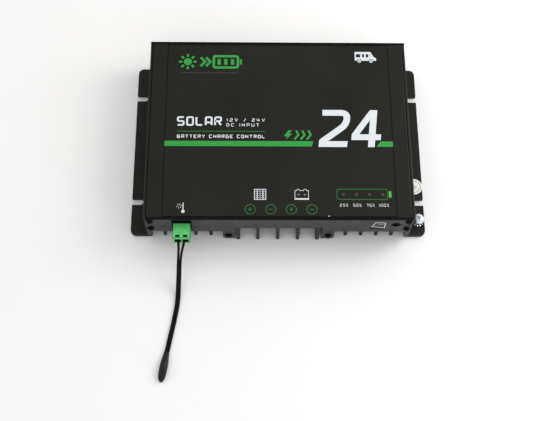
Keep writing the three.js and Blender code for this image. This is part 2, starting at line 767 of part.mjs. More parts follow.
function transistor() {
  const width = 5;
  const pieces = [
    block([-width, width], [-4.5, 4.5], [0, 4.4]),
    block([-width, width], [4.2, 11], [0, 1.3]),
    ...[-2.54, 0, 2.54].map((x) => block([x - 0.4, x + 0.4], [-12.5, -4.2], [2, 2.6])),
  ];
  return carve(unite(pieces), [roundBar(1.8, -1, 2, 12).translate(0, 7.8, 0)]);
}

function addPowerStage() {
  const capacitorX = [-8, 8, 24];
  capacitorX.forEach((x, i) => {
    addPart(`capacitor_${i + 1}`, capacitor().translate(x, fromFront(50), BOARD_TOP + 0.05), capSleeve());
  });
  addPart('thermal_pad', block([-23.5, 23.5], [TRANSISTOR_Y - 4.5, TRANSISTOR_Y + 11],
    [FLOOR_TOP + 0.02, FLOOR_TOP + 0.42]), greySilicone());
  [-1.5, -0.5, 0.5, 1.5].forEach((step, i) => {
    const placed = transistor().translate(step * TRANSISTOR_PITCH, TRANSISTOR_Y, TRANSISTOR_BOTTOM);
    addPart(`transistor_${i + 1}`, placed, chipBlack());
  });
  const barBottom = TRANSISTOR_BOTTOM + 4.45;
  const barTop = barBottom + 2.2;
  const barHalf = 27.8;
  const bar = carve(
    block([-barHalf, barHalf], [TRANSISTOR_Y - 3, TRANSISTOR_Y + 4], [barBottom, barTop]),
    [-1, 1].map((side) => roundBar(1.6, 0, CASE_HEIGHT).translate(side * CLAMP_SCREW_X, CLAMP_SCREW_Y, 0)),
  );
  addPart('transistor_clamp', bar, zincSteel());
  for (const [side, label] of [[-1, 'left'], [1, 'right']]) {
    const screw = panScrew({ head: 2.7, height: 1.9, shank: 1.3, length: 8.9, sides: 12 });
    addPart(`clamp_screw_${label}`, screw.translate(side * CLAMP_SCREW_X, CLAMP_SCREW_Y, barTop + 0.05),
      zincSteel());
  }
}

function controllerChip(x, y) {
  const body = block([x - 5, x + 5], [y - 5, y + 5], [BOARD_TOP + 0.05, BOARD_TOP + 1.5]);
  const leads = block([x - 6, x + 6], [y - 6, y + 6], [BOARD_TOP + 0.25, BOARD_TOP + 0.45]);
  return unite([body, leads]);
}

// Blade fuse standing in the board: moulded head over two blades.
function bladeFuse(x, y) {
  const base = BOARD_TOP + 0.05;
  return unite([
    block([x - 9.5, x + 9.5], [y - 2.6, y + 2.6], [base + 5, base + 12]),
    block([x - 8, x - 3], [y - 0.4, y + 0.4], [base, base + 6]),
    block([x + 3, x + 8], [y - 0.4, y + 0.4], [base, base + 6]),
  ]);
}

function statusLed() {
  const base = BOARD_TOP + 0.05;
  const spacerTop = 28.5;
  const domeCentre = 31.3;
  return turned([
    [0, base], [2.3, base], [2.3, spacerTop], [1.5, spacerTop],
    ...arc(0, domeCentre, 1.5, 0, 90, 3).slice(0, -1),
    [0, domeCentre + 1.5],
  ], 8);
}

// Socket for a remote display, behind the round hole in the front panel.
function remoteJack() {
  const body = block([JACK.x - 4.4, JACK.x + 4], [fromFront(2.3), fromFront(14)], [BOARD_TOP + 0.05, 30.6]);
  return carve(body, [faceFront(roundBar(2.1, -12, 2)).translate(JACK.x, fromFront(1.5), JACK.z)]);
}

function addBoardParts() {
  addInductor();
  addPowerStage();
  addPart('controller_chip', controllerChip(52, fromFront(45)), chipBlack());
  addPart('blade_fuse', bladeFuse(44, fromFront(80)), fuseAmber());
  LED_X.forEach((x, i) => {
    addPart(`status_led_${i + 1}`, statusLed().translate(x, fromFront(LED_FROM_FRONT), 0), ledResin());
  });
  addPart('remote_jack', remoteJack(), blackPlastic());
}

// ---------------------------------------------------------------- assembly

addCase();
addGroundPoint();
addSticker();
addTerminals();
addSensor();
addBoard();
addBoardParts();

export default group;
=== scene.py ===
"""Looks of a solar charge controller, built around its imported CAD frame: a finned aluminium case with a
printed cover, a row of screw terminals and a plug-in temperature sensor.

Shapes are drawn in millimetres in the frame of the CAD model, +X right, +Y back and +Z up, and become
metres when a piece is made."""

import json
import math

import bmesh
import bpy
from mathutils import Matrix, Quaternion, Vector

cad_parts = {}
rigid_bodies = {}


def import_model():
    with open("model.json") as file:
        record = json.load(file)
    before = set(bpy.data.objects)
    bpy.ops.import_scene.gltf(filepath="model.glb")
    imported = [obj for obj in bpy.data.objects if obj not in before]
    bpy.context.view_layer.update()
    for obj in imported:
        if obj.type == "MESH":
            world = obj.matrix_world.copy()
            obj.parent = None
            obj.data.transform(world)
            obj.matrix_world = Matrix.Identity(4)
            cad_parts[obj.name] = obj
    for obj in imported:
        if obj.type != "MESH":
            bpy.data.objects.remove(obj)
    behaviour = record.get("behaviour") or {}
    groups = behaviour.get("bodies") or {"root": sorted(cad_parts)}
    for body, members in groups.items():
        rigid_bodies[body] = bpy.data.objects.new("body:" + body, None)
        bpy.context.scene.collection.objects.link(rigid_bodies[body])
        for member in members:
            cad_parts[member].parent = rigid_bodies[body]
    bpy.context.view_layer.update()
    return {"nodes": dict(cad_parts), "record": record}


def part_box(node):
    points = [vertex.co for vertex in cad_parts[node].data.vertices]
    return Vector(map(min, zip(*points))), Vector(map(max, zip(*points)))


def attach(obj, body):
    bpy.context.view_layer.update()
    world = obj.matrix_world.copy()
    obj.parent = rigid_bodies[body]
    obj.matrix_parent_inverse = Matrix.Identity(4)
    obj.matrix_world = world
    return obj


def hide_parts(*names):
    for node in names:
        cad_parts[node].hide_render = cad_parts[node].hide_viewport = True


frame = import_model()

MM = 0.001
IDENTITY = Matrix.Identity(4)


def limits(node):
    """Lowest and highest corner of a CAD node, in millimetres."""
    low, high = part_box(node)
    return low / MM, high / MM


def middle_of(node):
    low, high = limits(node)
    return (low + high) / 2


PANEL_FRONT = limits("front_panel")[0].y
LABEL_LOW, LABEL_HIGH = limits("label_overlay")
LABEL_TOP = LABEL_HIGH.z
SLOT_OF = {part["node"]: part["material_slot"] for part in frame["record"]["subparts"]}
BODY_OF = {
    node: body for body, nodes in frame["record"]["behaviour"]["bodies"].items() for node in nodes
}


# ---------------------------------------------------------------- camera

def make_camera():
    """A camera in front of the controller and well above it, rolled a little."""
    position = Vector((-18.4, -300.35, 605.4)) * MM
    target = Vector((-7.585, -44.566, 0)) * MM
    roll = math.radians(2.388)
    data = bpy.data.cameras.new("camera")
    data.sensor_width = 36
    data.lens = 66.57
    camera = bpy.data.objects.new("camera", data)
    bpy.context.scene.collection.objects.link(camera)
    camera.location = position
    camera.rotation_mode = "QUATERNION"
    level = (target - position).to_track_quat("-Z", "Y")
    camera.rotation_quaternion = level @ Quaternion((0, 0, 1), roll)
    bpy.context.scene.camera = camera


# ---------------------------------------------------------------- materials

def linear(red, green, blue):
    """Scene colour of an sRGB colour given as 0 to 255."""
    shares = [c / 255 for c in (red, green, blue)]
    return tuple(s / 12.92 if s < 0.04 else ((s + 0.055) / 1.055) ** 2.4 for s in shares) + (1,)


def scaled(colour, factor):
    """That colour made darker or lighter, and opaque."""
    return tuple(min(1, c * factor) for c in colour[:3]) + (1,)


NOISE_RANGE = (0.3, 0.7)  # most of the values of a noise texture lie between these


class Surface:
    """A procedural material: one Principled shader, and the textures that vary it. Sizes are in mm."""

    def __init__(self, name, roughness, metallic=0.0, specular=0.5):
        self.name = name
        self.material = bpy.data.materials.new(name)
        self.material.use_nodes = True
        self.nodes = self.material.node_tree.nodes
        self.links = self.material.node_tree.links
        self.shader = self.nodes["Principled BSDF"]
        self.set("Roughness", roughness)
        self.set("Metallic", metallic)
        self.set("Specular IOR Level", specular)
        self.place = self.nodes.new("ShaderNodeTexCoord").outputs["Object"]
        self.normal = None

    def set(self, socket, value):
        self.shader.inputs[socket].default_value = value

    def scaled_place(self, size, stretch):
        mapping = self.nodes.new("ShaderNodeMapping")
        mapping.inputs["Scale"].default_value = [1 / (size * MM * s) for s in stretch]
        self.links.new(self.place, mapping.inputs["Vector"])
        return mapping.outputs["Vector"]

    def noise(self, size, stretch=(1, 1, 1), detail=3):
        """Cloudy noise with features of about that size, longer along an axis where stretch is more."""
        texture = self.nodes.new("ShaderNodeTexNoise")
        texture.inputs["Scale"].default_value = 1
        texture.inputs["Detail"].default_value = detail
        self.links.new(self.scaled_place(size, stretch), texture.inputs["Vector"])
        return texture.outputs[0]

    def cells(self, size):
        """Distance to the centre of each of the cells, which are about that size."""
        texture = self.nodes.new("ShaderNodeTexVoronoi")
        texture.inputs["Scale"].default_value = 1
        self.links.new(self.scaled_place(size, (1, 1, 1)), texture.inputs["Vector"])
        return texture.outputs["Distance"]

    def ramp(self, factor, stops):
        """Turns a factor into colours, from a list of (position, colour)."""
        node = self.nodes.new("ShaderNodeValToRGB")
        elements = node.color_ramp.elements
        while len(elements) < len(stops):
            elements.new(0.5)
        for element, (position, colour) in zip(elements, stops):
            element.position = position
            element.color = colour
        self.links.new(factor, node.inputs[0])
        return node.outputs[0]

    def colour(self, factor, low, high, spread=NOISE_RANGE):
        """Blends from one colour to the other over that range of the factor."""
        stops = list(zip(spread, (low, high)))
        self.links.new(self.ramp(factor, stops), self.shader.inputs["Base Color"])

    def roughen(self, factor, low, high):
        """Lets the roughness follow the factor between two values."""
        node = self.nodes.new("ShaderNodeMapRange")
        node.inputs["From Min"].default_value = NOISE_RANGE[0]
        node.inputs["From Max"].default_value = NOISE_RANGE[1]
        node.inputs["To Min"].default_value = low
        node.inputs["To Max"].default_value = high
        self.links.new(factor, node.inputs["Value"])
        self.links.new(node.outputs["Result"], self.shader.inputs["Roughness"])

    def bump(self, height, depth, strength=1.0):
        """Adds relief of that depth on top of any before it."""
        node = self.nodes.new("ShaderNodeBump")
        node.inputs["Distance"].default_value = depth * MM
        node.inputs["Strength"].default_value = strength
        self.links.new(height, node.inputs["Height"])
        if self.normal:
            self.links.new(self.normal, node.inputs["Normal"])
        self.normal = node.outputs["Normal"]
        self.links.new(self.normal, self.shader.inputs["Normal"])


def anodised_aluminium():
    """Black anodised extrusion: faint die lines along Y, and a dusty bloom."""
    s = Surface("anodised_aluminium", 0.5, specular=0.2)
    lines = s.noise(0.35, (1, 160, 1), 4)
    s.colour(s.noise(22, detail=5), linear(13, 18, 10), linear(19, 24, 15))
    s.roughen(lines, 0.4, 0.56)
    s.bump(lines, 0.012, 0.5)
    s.bump(s.noise(0.18), 0.006, 0.5)
    return s


def worn_edge_and_highlight():
    """Rounded edges lighter than the anodising: partly worn thin there, partly a painted highlight along
    the edge.
    """
    s = Surface("worn_edge_and_highlight", 0.32, specular=0.55)
    s.colour(s.noise(2.5, (1, 4, 1), 5), linear(30, 31, 28), linear(66, 67, 64), (0.4, 0.8))
    s.bump(s.noise(0.2), 0.01, 0.6)
    return s


def coated_panel():
    """Powder coat with its fine orange peel."""
    s = Surface("coated_panel", 0.5, specular=0.4)
    s.colour(s.noise(9, detail=4), linear(36, 36, 41), linear(44, 44, 49))
    s.roughen(s.noise(4), 0.44, 0.6)
    s.bump(s.noise(0.55, detail=2), 0.05, 0.7)
    s.bump(s.cells(0.22), 0.012, 0.6)
    return s


def painted_edge_shade():
    """Painted shade, very dark, on the sheared top edge and rounded edges of a coated panel and on the rim
    and sides of the label.
    """
    s = Surface("painted_edge_shade", 0.6, specular=0.08)
    s.colour(s.noise(1.6, detail=4), linear(8, 9, 7), linear(15, 16, 14))
    s.bump(s.noise(0.3), 0.02, 0.7)
    return s


def label_foil():
    """Matt printed polycarbonate: even grain with a few handling smears."""
    s = Surface("label_foil", 0.45, specular=0.16)
    s.colour(s.noise(35, detail=4), linear(21, 22, 15), linear(27, 28, 21))
    s.roughen(s.noise(14, (1, 2.5, 1), 4), 0.4, 0.5)
    s.bump(s.noise(0.14, detail=1), 0.006, 0.6)
    return s


def ink(name, colour):
    """Screen-printed ink, slightly uneven."""
    s = Surface(name, 0.5, specular=0.3)
    s.colour(s.noise(1.2, detail=4), scaled(colour, 0.9), scaled(colour, 1.04))
    s.bump(s.noise(0.12, detail=1), 0.004, 0.5)
    return s


def moulded(name, low, high, roughness=0.42, specular=0.5):
    """Injection-moulded nylon with a spark-eroded texture and soft flow marks."""
    s = Surface(name, roughness, specular=specular)
    s.colour(s.noise(3.5, (1, 1, 2), 4), low, high)
    s.roughen(s.noise(1.5), roughness - 0.06, roughness + 0.08)
    s.bump(s.noise(0.16, detail=2), 0.012, 0.6)
    return s


def black_steel():
    """Black oxide screw, oily and worn on its high spots."""
    s = Surface("black_steel", 0.3, metallic=0.6, specular=0.15)
    s.colour(s.noise(0.6, detail=5), linear(5, 5, 6), linear(20, 20, 22), (0.35, 0.85))
    s.roughen(s.noise(0.5), 0.22, 0.42)
    s.bump(s.noise(0.25), 0.01, 0.5)
    return s


def zinc_steel():
    """Bright zinc with a blue passivation and fine tool marks."""
    s = Surface("zinc_steel", 0.25, metallic=1.0)
    s.colour(s.noise(1.4, detail=4), linear(196, 212, 222), linear(236, 240, 238))
    s.roughen(s.noise(0.4, (1, 1, 0.3), 4), 0.16, 0.34)
    s.bump(s.noise(0.22, (1, 1, 0.4)), 0.008, 0.6)
    return s


def wire_jacket():
    """Soft black jacket with a dull bloom."""
    s = Surface("wire_jacket", 0.5, specular=0.12)
    s.colour(s.noise(2, (1, 3, 1), 4), linear(5, 5, 6), linear(11, 11, 12))
    s.roughen(s.noise(1.1), 0.44, 0.56)
    s.bump(s.noise(0.3, (1, 3, 1)), 0.015, 0.6)
    return s


def shrink_sleeve():
    """Shrunk sleeve: satin, drawn into fine lengthwise wrinkles."""
    s = Surface("shrink_sleeve", 0.36, specular=0.3)
    s.colour(s.noise(3, detail=4), linear(7, 7, 7), linear(15, 15, 15))
    s.roughen(s.noise(1.2), 0.3, 0.46)
    s.bump(s.noise(0.7, (1, 5, 1), 4), 0.08, 0.6)
    s.bump(s.noise(0.2), 0.012, 0.5)
    return s


def sticker_film():
    """White vinyl, a little yellowed."""
    s = Surface("sticker_film", 0.5, specular=0.35)
    s.colour(s.noise(1.8, detail=5), linear(232, 231, 222), linear(247, 246, 240))
    s.bump(s.noise(0.25, detail=3), 0.01, 0.5)
    return s


def circuit_laminate():
    """Green solder resist over copper tracks."""
    s = Surface("circuit_laminate", 0.3, specular=0.5)
    tracks = s.ramp(s.cells(4.5), [(0.46, linear(22, 84, 48)), (0.5, linear(34, 110, 62))])
    s.links.new(tracks, s.shader.inputs["Base Color"])
    s.bump(s.cells(4.5), 0.03, 0.4)
    return s


def copper_wire():
    """Enamelled copper of the coil."""
    s = Surface("copper_wire", 0.25, metallic=0.9)
    s.colour(s.noise(2, detail=3), linear(150, 72, 36), linear(196, 104, 56))
    s.bump(s.noise(0.3), 0.01, 0.5)
    return s


def ferrite():
    """Pressed iron powder of the coil's core."""
    s = Surface("ferrite", 0.75, specular=0.3)
    s.colour(s.noise(0.5, detail=5), linear(50, 53, 56), linear(70, 73, 76))
    s.bump(s.noise(0.4, detail=4), 0.05, 0.8)
    return s


def led_lens():
    """Unlit lamp seen through a frosted window of the foil."""
    s = Surface("led_lens", 0.5, specular=0.35)
    s.colour(s.noise(0.7, detail=2), linear(46, 49, 44), linear(64, 67, 62))
    s.bump(s.noise(0.2), 0.01, 0.5)
    return s


def made_materials():
    """Every material by its name; the record's slots are among them."""
    made = [
        anodised_aluminium(), worn_edge_and_highlight(), coated_panel(), painted_edge_shade(), label_foil(),
        ink("ink_light", linear(214, 221, 226)),
        ink("ink_white", linear(226, 228, 226)),
        ink("ink_green", linear(44, 150, 62)),
        ink("ink_bright_green", linear(58, 178, 76)),
        ink("ink_dark_green", linear(38, 112, 52)),
        ink("ink_shade", linear(58, 61, 55)),
        ink("ink_grey", linear(128, 126, 118)),
        moulded("black_plastic", linear(12, 12, 17), linear(22, 22, 29), 0.45, 0.25),
        moulded("green_plastic", linear(76, 190, 98), linear(92, 208, 114), 0.4),
        # very dark green plastic: painted shade for the header in the window and for the plug's openings
        moulded("painted_shade_green", linear(6, 26, 12), linear(10, 38, 18), 0.6, 0.1),
        black_steel(), zinc_steel(), wire_jacket(), shrink_sleeve(), sticker_film(),
        circuit_laminate(), copper_wire(), ferrite(), led_lens(),
        moulded("silicone_pad", linear(128, 132, 136), linear(146, 150, 154), 0.7, 0.3),
        moulded("chip_epoxy", linear(18, 18, 18), linear(30, 30, 30), 0.5),
        moulded("fuse_plastic", linear(184, 122, 30), linear(206, 146, 46), 0.25),
        moulded("capacitor_sleeve", linear(22, 24, 32), linear(34, 36, 46), 0.25),
        moulded("led_resin", linear(150, 170, 150), linear(176, 190, 174), 0.18),
    ]
    return {surface.name: surface.material for surface in made}


MATERIALS = made_materials()


# ---------------------------------------------------------------- outlines in a plane

def arc(centre, radius, start, end, steps):
    """Points along an arc between two angles in degrees."""
    angles = [math.radians(start + (end - start) * i / steps) for i in range(steps + 1)]
    return [(centre[0] + radius * math.cos(a), centre[1] + radius * math.sin(a)) for a in angles]


def circle(centre, radius, sides=40):
    return arc(centre, radius, 0, 360, sides)[:-1]


def rectangle(x0, x1, y0, y1):
    return [(x0, y0), (x1, y0), (x1, y1), (x0, y1)]


def rounded(points, radius, closed=False, steps=5):
    """The line with each corner turned into a curve that starts that far before it."""
    line = [Vector(p) for p in points]
    count = len(line)
    made = []
    for i, corner in enumerate(line):
        if not closed and i in (0, count - 1):
            made.append(corner)
            continue
        before, after = line[i - 1] - corner, line[(i + 1) % count] - corner
        reach = min(radius, before.length / 2, after.length / 2)
        start = corner + before.normalized() * reach
        end = corner + after.normalized() * reach
        for k in range(steps + 1):
            t = k / steps
            made.append(start * (1 - t) ** 2 + corner * 2 * t * (1 - t) + end * t ** 2)
    return made


def without_repeats(points, closed):
    """The line without points that fall on the one before."""
    kept = []
    for p in map(Vector, points):
        if not kept or (p - kept[-1]).length > 1e-4:
            kept.append(p)
    if closed and (kept[0] - kept[-1]).length < 1e-4:
        kept.pop()
    return kept


# ---------------------------------------------------------------- solids

def prism(bm, outline, low, high, foot=1.0):
    """A solid of that outline between two heights. Its lower end is scaled by foot about the origin."""
    bottom = [bm.verts.new((p[0] * foot, p[1] * foot, low)) for p in outline]
    top = [bm.verts.new((p[0], p[1], high)) for p in outline]
    bridge(bm, [bottom, top])
    bm.faces.new(bottom[::-1])
    bm.faces.new(top)


def bridge(bm, rings, closed=False):
    """Skin through rings of vertices, one to the next."""
    pairs = zip(rings, rings[1:] + rings[:1] if closed else rings[1:])
    for a, b in pairs:
        count = len(a)
        for i in range(count):
            k = (i + 1) % count
            bm.faces.new((a[i], a[k], b[k], b[i]))


def ribbon(bm, points, width, low, high, closed=False):
    """A flat strip of that width along a line, mitred at its corners, between two heights."""
    line = without_repeats(points, closed)
    count = len(line)
    sections = []
    for i, p in enumerate(line):
        into = (p - line[i - 1]).normalized() if closed or i else None
        out = (line[(i + 1) % count] - p).normalized() if closed or i + 1 < count else None
        first, second = into or out, out or into
        along = (first + second).normalized()
        side = Vector((-along.y, along.x))
        reach = width / 2 / max(0.5, along.dot(first))
        left, right = p + side * reach, p - side * reach
        corners = [(left, low), (right, low), (right, high), (left, high)]
        sections.append([bm.verts.new((c.x, c.y, z)) for c, z in corners])
    bridge(bm, sections, closed)
    if not closed:
        bm.faces.new(sections[0][::-1])
        bm.faces.new(sections[-1])


def turned(bm, profile, sides=40, matrix=IDENTITY):
    """A solid of revolution about Z, from a profile of (radius, height) that ends on the axis."""
    rings = []
    for radius, height in profile:
        if radius < 1e-6:
            rings.append([bm.verts.new(matrix @ Vector((0, 0, height)))])
        else:
            rings.append([bm.verts.new(matrix @ Vector((x, y, height)))
                          for x, y in circle((0, 0), radius, sides)])
    for a, b in zip(rings, rings[1:]):
        for i in range(sides):
            k = (i + 1) % sides
            if len(a) == 1:
                bm.faces.new((a[0], b[i], b[k]))
            elif len(b) == 1:
                bm.faces.new((a[i], a[k], b[0]))
            else:
                bm.faces.new((a[i], a[k], b[k], b[i]))


def sharp_edges(bm, degrees):
    sharp = math.radians(degrees)
    return [e for e in bm.edges if e.is_manifold and e.calc_face_angle(0) > sharp]


def soften(bm, width, degrees=28):
    """Rounds the edges of a solid. The rounded faces get its second material."""
    bmesh.ops.bevel(
        bm, geom=sharp_edges(bm, degrees), offset=width, segments=2, profile=0.5,
        affect="EDGES", clamp_overlap=True, material=1,
    )


def to_mesh(bm, name):
    """A mesh in metres of a solid in millimetres, which is used up."""
    bmesh.ops.recalc_face_normals(bm, faces=bm.faces)
    mesh = bpy.data.meshes.new(name)
    bm.to_mesh(mesh)
    bm.free()
    mesh.transform(Matrix.Scale(MM, 4))
    return mesh


def shade(mesh):
    """Smooth shading, with a crease where two faces meet at more than 38 degrees."""
    for face in mesh.polygons:
        face.use_smooth = True
    mesh.set_sharp_from_angle(angle=math.radians(38))


def add_piece(name, mesh, body, materials, replaced=()):
    """Puts a mesh on its body, with its materials, standing for the CAD nodes that it replaces."""
    shade(mesh)
    for material in materials:
        mesh.materials.append(MATERIALS[material])
    obj = bpy.data.objects.new(name, mesh)
    bpy.context.scene.collection.objects.link(obj)
    weighted = obj.modifiers.new("even_normals", "WEIGHTED_NORMAL")
    weighted.keep_sharp = True
    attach(obj, body)
    if replaced:
        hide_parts(*replaced)
    return obj


def stand_in(node, mesh, materials=None):
    """A piece that replaces one CAD node and keeps its body and its material slot."""
    slot = SLOT_OF[node]
    materials = materials or [slot, slot]
    return add_piece(f"{node}_shell", mesh, BODY_OF[node], materials, [node])


def node_solid(node):
    """The CAD node as a solid in millimetres, with its flat faces whole."""
    bm = bmesh.new()
    bm.from_mesh(frame["nodes"][node].data)
    bm.transform(Matrix.Scale(1 / MM, 4))
    bmesh.ops.remove_doubles(bm, verts=bm.verts, dist=0.002)
    bmesh.ops.dissolve_limit(bm, angle_limit=math.radians(1), verts=bm.verts, edges=bm.edges)
    return bm


def refine(node, width, materials=None):
    """A piece with the shape of its CAD node, its edges rounded by that width."""
    bm = node_solid(node)
    soften(bm, width)
    return stand_in(node, to_mesh(bm, node), materials)


def refine_panel(node):
    """A coated panel whose sheared top edge, which faces up, and rounded edges get a painted shade."""
    bm = node_solid(node)
    # faces that look up are painted darker as shade
    for face in bm.faces:
        if face.normal.z > 0.9:
            face.material_index = 1
    soften(bm, 0.3)
    stand_in(node, to_mesh(bm, node), ["coated_panel", "painted_edge_shade"])


def cut(mesh, cutter):
    """The mesh with a solid in millimetres taken out of it."""
    scene = bpy.context.scene.collection.objects
    body = bpy.data.objects.new("body", mesh)
    tool = bpy.data.objects.new("tool", to_mesh(cutter, "tool"))
    scene.link(body)
    scene.link(tool)
    modifier = body.modifiers.new("cut", "BOOLEAN")
    modifier.operation = "DIFFERENCE"
    modifier.solver = "EXACT"
    modifier.object = tool
    graph = bpy.context.evaluated_depsgraph_get()
    result = bpy.data.meshes.new_from_object(body.evaluated_get(graph))
    bpy.data.objects.remove(body)
    bpy.data.objects.remove(tool)
    return result


# ---------------------------------------------------------------- case

def add_case():
    """The extruded base and cover, their rounded edges lighter as wear and as a painted highlight, the two
    end panels and the label.
    """
    refine("heatsink_base", 0.22, ["anodised_aluminium", "worn_edge_and_highlight"])
    refine("top_cover", 0.2, ["anodised_aluminium", "worn_edge_and_highlight"])
    refine_panel("front_panel")
    refine_panel("rear_panel")
    add_label()


def add_label():
    """The label foil, with a narrow rim of painted shadow where it dips to the pocket of the cover, and
    painted shade on its sides.
    """
    corner, shadow_rim_width = 1.2, 0.4
    outline = rectangle(LABEL_LOW.x, LABEL_HIGH.x, LABEL_LOW.y, LABEL_HIGH.y)
    outline = rounded(outline, corner, True)
    bm = bmesh.new()
    prism(bm, without_repeats(outline, True), LABEL_LOW.z, LABEL_TOP)
    bm.normal_update()
    top = [face for face in bm.faces if face.normal.z > 0.5]
    rim = bmesh.ops.inset_region(bm, faces=top, thickness=shadow_rim_width)["faces"]
    sides = [face for face in bm.faces if abs(face.normal.z) < 0.5]
    # the rim and the sides get the painted shade
    for face in rim + sides:
        face.material_index = 1
    soften(bm, 0.12)
    stand_in("label_overlay", to_mesh(bm, "label_overlay"), ["label_foil", "painted_edge_shade"])


# ---------------------------------------------------------------- screws and washers

def cross_outline(length, half_width):
    """A plus sign, drawn clockwise from its right arm."""
    arm = [(length, -half_width), (length, half_width), (half_width, half_width)]
    turns = [Matrix.Rotation(math.radians(90 * i), 2) for i in range(4)]
    return [turn @ Vector(p) for turn in turns for p in arm]


def screw_mesh(name, head, height, shank, length, cross, slot=0.0):
    """Pan-head screw along Z, its head standing on z = 0 and its threaded shank below.

    The head, shank and cross are radii, and slot is a width."""
    pitch = 0.55
    rings = []
    z = -length + 0.8
    while z < -pitch:
        rings += [(shank * 0.86, z), (shank, z + pitch * 0.45)]
        z += pitch
    dome = [(head * math.cos(a), height * (0.42 + 0.58 * math.sin(a)))
            for a in (math.radians(8 * i) for i in range(1, 11))]
    point = [(0, -length), (shank * 0.5, -length + 0.1)]
    neck = [(shank * 0.9, -0.05), (shank * 0.9, 0.02)]
    rim = [(head * 0.93, 0), (head, height * 0.12), (head, height * 0.42)]
    bm = bmesh.new()
    turned(bm, [*point, *rings, *neck, *rim, *dome, (0, height)], 36)
    cutter = bmesh.new()
    prism(cutter, cross_outline(cross, cross * 0.26), height * 0.12, height + 1, 0.6)
    mesh = cut(to_mesh(bm, name), cutter)
    if slot:
        cutter = bmesh.new()
        prism(cutter, rectangle(-head - 1, head + 1, -slot / 2, slot / 2), height * 0.55, height + 1)
        mesh = cut(mesh, cutter)
    return mesh


def placed(mesh, x, y, z, facing="up", spin=0.0):
    """A copy of a mesh made about +Z, turned to face its way and moved to a point in millimetres."""
    turns = {
        "up": IDENTITY,
        "front": Matrix.Rotation(math.pi / 2, 4, "X"),
        "back": Matrix.Rotation(-math.pi / 2, 4, "X"),
    }
    copy = mesh.copy()
    turn = turns[facing] @ Matrix.Rotation(math.radians(spin), 4, "Z")
    copy.transform(Matrix.Translation(Vector((x, y, z)) * MM) @ turn)
    return copy


def flat_screw_mesh(name, head, shank, length):
    """Countersunk screw with its flat head at z = 0 and a cross recess."""
    point = [(0, -length), (shank * 0.5, -length + 0.1), (shank, -length + 0.8)]
    cone = [(shank, -1.35), (head, -0.22)]
    rim = [(head, -0.06), (head - 0.06, 0)]
    bm = bmesh.new()
    turned(bm, [*point, *cone, *rim, (0, 0)], 36)
    cutter = bmesh.new()
    prism(cutter, cross_outline(1.4, 0.37), -1.0, 0.5, 0.55)
    return cut(to_mesh(bm, name), cutter)


def add_panel_screws():
    """Pan heads on the front panel, and countersunk ones flush in the rear panel."""
    low, high = limits("front_screw_upper_left")
    head = (high.x - low.x) / 2
    pan = screw_mesh("panel_screw", head, PANEL_FRONT - low.y, 1.15, 9, cross=1.45)
    low, high = limits("rear_screw_upper_left")
    flat = flat_screw_mesh("rear_screw", (high.x - low.x) / 2, 1.15, high.y - low.y)
    spins = [12, 31, 54, 73, 5, 40, 22, 65, 48, 80]  # degrees that each was left at
    names = [node for node in frame["nodes"] if node.startswith(("front_screw", "rear_screw"))]
    for node, spin in zip(sorted(names), spins):
        middle = middle_of(node)
        if node.startswith("front"):
            stand_in(node, placed(pan, middle.x, PANEL_FRONT, middle.z, "front", spin))
        else:
            panel_back = limits(node)[1].y
            stand_in(node, placed(flat, middle.x, panel_back, middle.z, "back", spin))


def add_ground_point():
    """The earth screw and its two washers."""
    low, high = limits("ground_screw")
    centre = middle_of("ground_screw")
    seat = 4.85  # height at which the head stands on its washers
    head = (high.x - low.x) / 2
    mesh = screw_mesh("ground_screw", head, high.z - seat, 1.7, seat - low.z, cross=2.1)
    stand_in("ground_screw", placed(mesh, centre.x, centre.y, seat, spin=28))
    add_spring_washer(centre)
    add_tooth_washer(centre)


def around(bm, centre, angle, corners):
    """One section of a ring about a vertical axis, from (radius, height) corners."""
    x, y = math.cos(angle), math.sin(angle)
    return [bm.verts.new((centre.x + r * x, centre.y + r * y, z)) for r, z in corners]


def add_spring_washer(centre):
    """Split ring of square wire, one end a little above the other."""
    low, high = limits("ground_spring_washer")
    outer, inner, rise = (high.x - low.x) / 2, 1.95, 0.25
    steps = 40
    sections = []
    bm = bmesh.new()
    for i in range(steps + 1):
        share = i / steps
        angle = math.radians(8 + 344 * share)
        bottom = low.z + rise * share
        top = high.z - rise * (1 - share)
        corners = [(inner, bottom), (outer, bottom), (outer, top), (inner, top)]
        sections.append(around(bm, centre, angle, corners))
    bridge(bm, sections)
    bm.faces.new(sections[0][::-1])
    bm.faces.new(sections[-1])
    soften(bm, 0.08)
    stand_in("ground_spring_washer", to_mesh(bm, "spring_washer"))


def add_tooth_washer(centre):
    """Lock washer whose outer teeth are each twisted out of its plane."""
    low, high = limits("ground_tooth_washer")
    outer, ring, bore, teeth = (high.x - low.x) / 2, 3.1, 1.95, 14
    middle, half = (low.z + high.z) / 2, 0.16
    twist = (high.z - low.z) / 2 - half
    per_tooth = 6
    steps = teeth * per_tooth
    sections = []
    bm = bmesh.new()
    for i in range(steps):
        angle = 2 * math.pi * i / steps
        part = i % per_tooth
        is_tooth = part < 3
        radius = outer if is_tooth else ring
        rim = middle + (twist * (1 - part) if is_tooth else 0)
        corners = [(bore, middle - half), (radius, rim - half), (radius, rim + half), (bore, middle + half)]
        sections.append(around(bm, centre, angle, corners))
    bridge(bm, sections, closed=True)
    stand_in("ground_tooth_washer", to_mesh(bm, "tooth_washer"))


